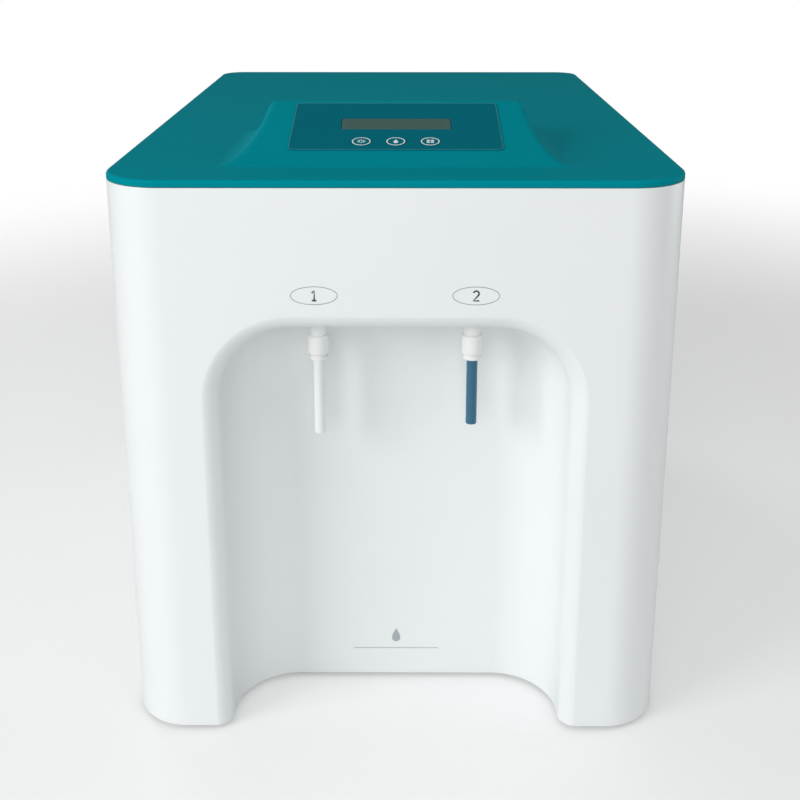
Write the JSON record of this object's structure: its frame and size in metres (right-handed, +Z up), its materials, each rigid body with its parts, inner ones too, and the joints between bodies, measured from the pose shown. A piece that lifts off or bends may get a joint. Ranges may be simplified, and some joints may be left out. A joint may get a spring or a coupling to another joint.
{
  "type": "laboratory water purification system",
  "caption": "Bench-top laboratory water purifier: white moulded cabinet with a front dispense bay and hanging outlet tubes, under a teal lift-off lid with a sloping control console.",
  "frame": {"origin": "centre of the footprint, on the bench under the feet", "axes": "+Z up, front with the dispense bay towards -Y, rear ports towards +Y, +X to the right seen from the front"},
  "size_m": [0.32, 0.4878, 0.3643],
  "materials": {
    "shell_white": "satin moulded cabinet, cool white",
    "panel_white": "powder-coated sheet",
    "base_steel": "zinc-plated sheet",
    "rubber_black": "moulded rubber",
    "screw_steel": "plated screws",
    "lid_teal": "gloss moulded lid, teal",
    "film_teal": "printed film, dark teal",
    "display_grey": "unlit liquid crystal display",
    "board_green": "circuit board",
    "fitting_white": "acetal fittings",
    "tube_white": "polyethylene tube",
    "tube_blue": "polyethylene tube, blue",
    "black_plastic": "black moulded plastic",
    "pin_metal": "plated contact pins",
    "cartridge_white": "moulded cartridge",
    "cartridge_blue": "moulded polishing cartridge",
    "reactor_steel": "polished stainless tube",
    "motor_metal": "painted motor can",
    "supply_metal": "folded sheet case"
  },
  "bodies": {
    "cabinet": {"body_shell": "shell_white", "rear_panel": "panel_white", "base_plate": "base_steel", "rubber_feet": "rubber_black", "foot_screws": "screw_steel", "base_screws": "screw_steel", "rear_screws": "screw_steel", "outlet_body_1": "fitting_white", "outlet_body_2": "fitting_white", "outlet_seals": "rubber_black", "outlet_nuts": "fitting_white", "outlet_tube_1": "tube_white", "outlet_tube_2": "tube_blue", "feed_port": "fitting_white", "drain_port": "fitting_white", "tank_port": "fitting_white", "port_nuts": "fitting_white", "mains_inlet": "black_plastic", "inlet_pins": "pin_metal", "switch_frame": "black_plastic", "filter_rack": "base_steel", "rack_clips": "fitting_white", "sediment_filter": "cartridge_white", "carbon_filter": "cartridge_white", "block_filter": "cartridge_white", "polish_filter_1": "cartridge_blue", "polish_filter_2": "cartridge_blue", "membrane_housing": "cartridge_white", "membrane_cap": "cartridge_white", "reactor": "reactor_steel", "reactor_caps": "black_plastic", "pump_motor": "motor_metal", "pump_head": "black_plastic", "pump_bracket": "base_steel", "pump_grommets": "rubber_black", "inlet_valve": "black_plastic", "flush_valve": "black_plastic", "dispense_valve_1": "black_plastic", "dispense_valve_2": "black_plastic", "valve_bracket": "base_steel", "manifold": "fitting_white", "sensor_cell": "black_plastic", "power_supply": "supply_metal", "main_board": "board_green", "filter_loops": "tube_white", "hoses": "tube_white"},
    "lid": {"lid": "lid_teal", "control_film": "film_teal", "display": "display_grey", "control_board": "board_green", "board_screws": "screw_steel"},
    "key_1": {"key_1": "film_teal"},
    "key_2": {"key_2": "film_teal"},
    "key_3": {"key_3": "film_teal"},
    "outlet_collet_1": {"outlet_collet_1": "fitting_white"},
    "outlet_collet_2": {"outlet_collet_2": "fitting_white"},
    "feed_collet": {"feed_collet": "fitting_white"},
    "drain_collet": {"drain_collet": "fitting_white"},
    "tank_collet": {"tank_collet": "fitting_white"},
    "power_rocker": {"power_rocker": "black_plastic"}
  },
  "joints": [
    {"name": "lid_lift", "type": "slide", "parent": "cabinet", "child": "lid", "axis": [0, 0, 1], "range_m": [0, 0.06]},
    {"name": "key_1_press", "type": "slide", "parent": "lid", "child": "key_1", "axis": [0, 0.238, -0.9713], "range_m": [0, 0.0005], "stiffness_N_per_m": 600},
    {"name": "key_2_press", "type": "slide", "parent": "lid", "child": "key_2", "axis": [0, 0.238, -0.9713], "range_m": [0, 0.0005], "stiffness_N_per_m": 600},
    {"name": "key_3_press", "type": "slide", "parent": "lid", "child": "key_3", "axis": [0, 0.238, -0.9713], "range_m": [0, 0.0005], "stiffness_N_per_m": 600},
    {"name": "outlet_collet_1_release", "type": "slide", "parent": "cabinet", "child": "outlet_collet_1", "axis": [0, 0, 1], "range_m": [0, 0.0012]},
    {"name": "outlet_collet_2_release", "type": "slide", "parent": "cabinet", "child": "outlet_collet_2", "axis": [0, 0, 1], "range_m": [0, 0.0012]},
    {"name": "feed_collet_release", "type": "slide", "parent": "cabinet", "child": "feed_collet", "axis": [0, -1, 0], "range_m": [0, 0.0012]},
    {"name": "drain_collet_release", "type": "slide", "parent": "cabinet", "child": "drain_collet", "axis": [0, -1, 0], "range_m": [0, 0.0012]},
    {"name": "tank_collet_release", "type": "slide", "parent": "cabinet", "child": "tank_collet", "axis": [0, -1, 0], "range_m": [0, 0.0012]},
    {"name": "power_switch", "type": "hinge", "parent": "cabinet", "child": "power_rocker", "pos_m": [0.056, 0.2241, 0.066], "axis": [1, 0, 0], "range_deg": [0, 16]}
  ]
}
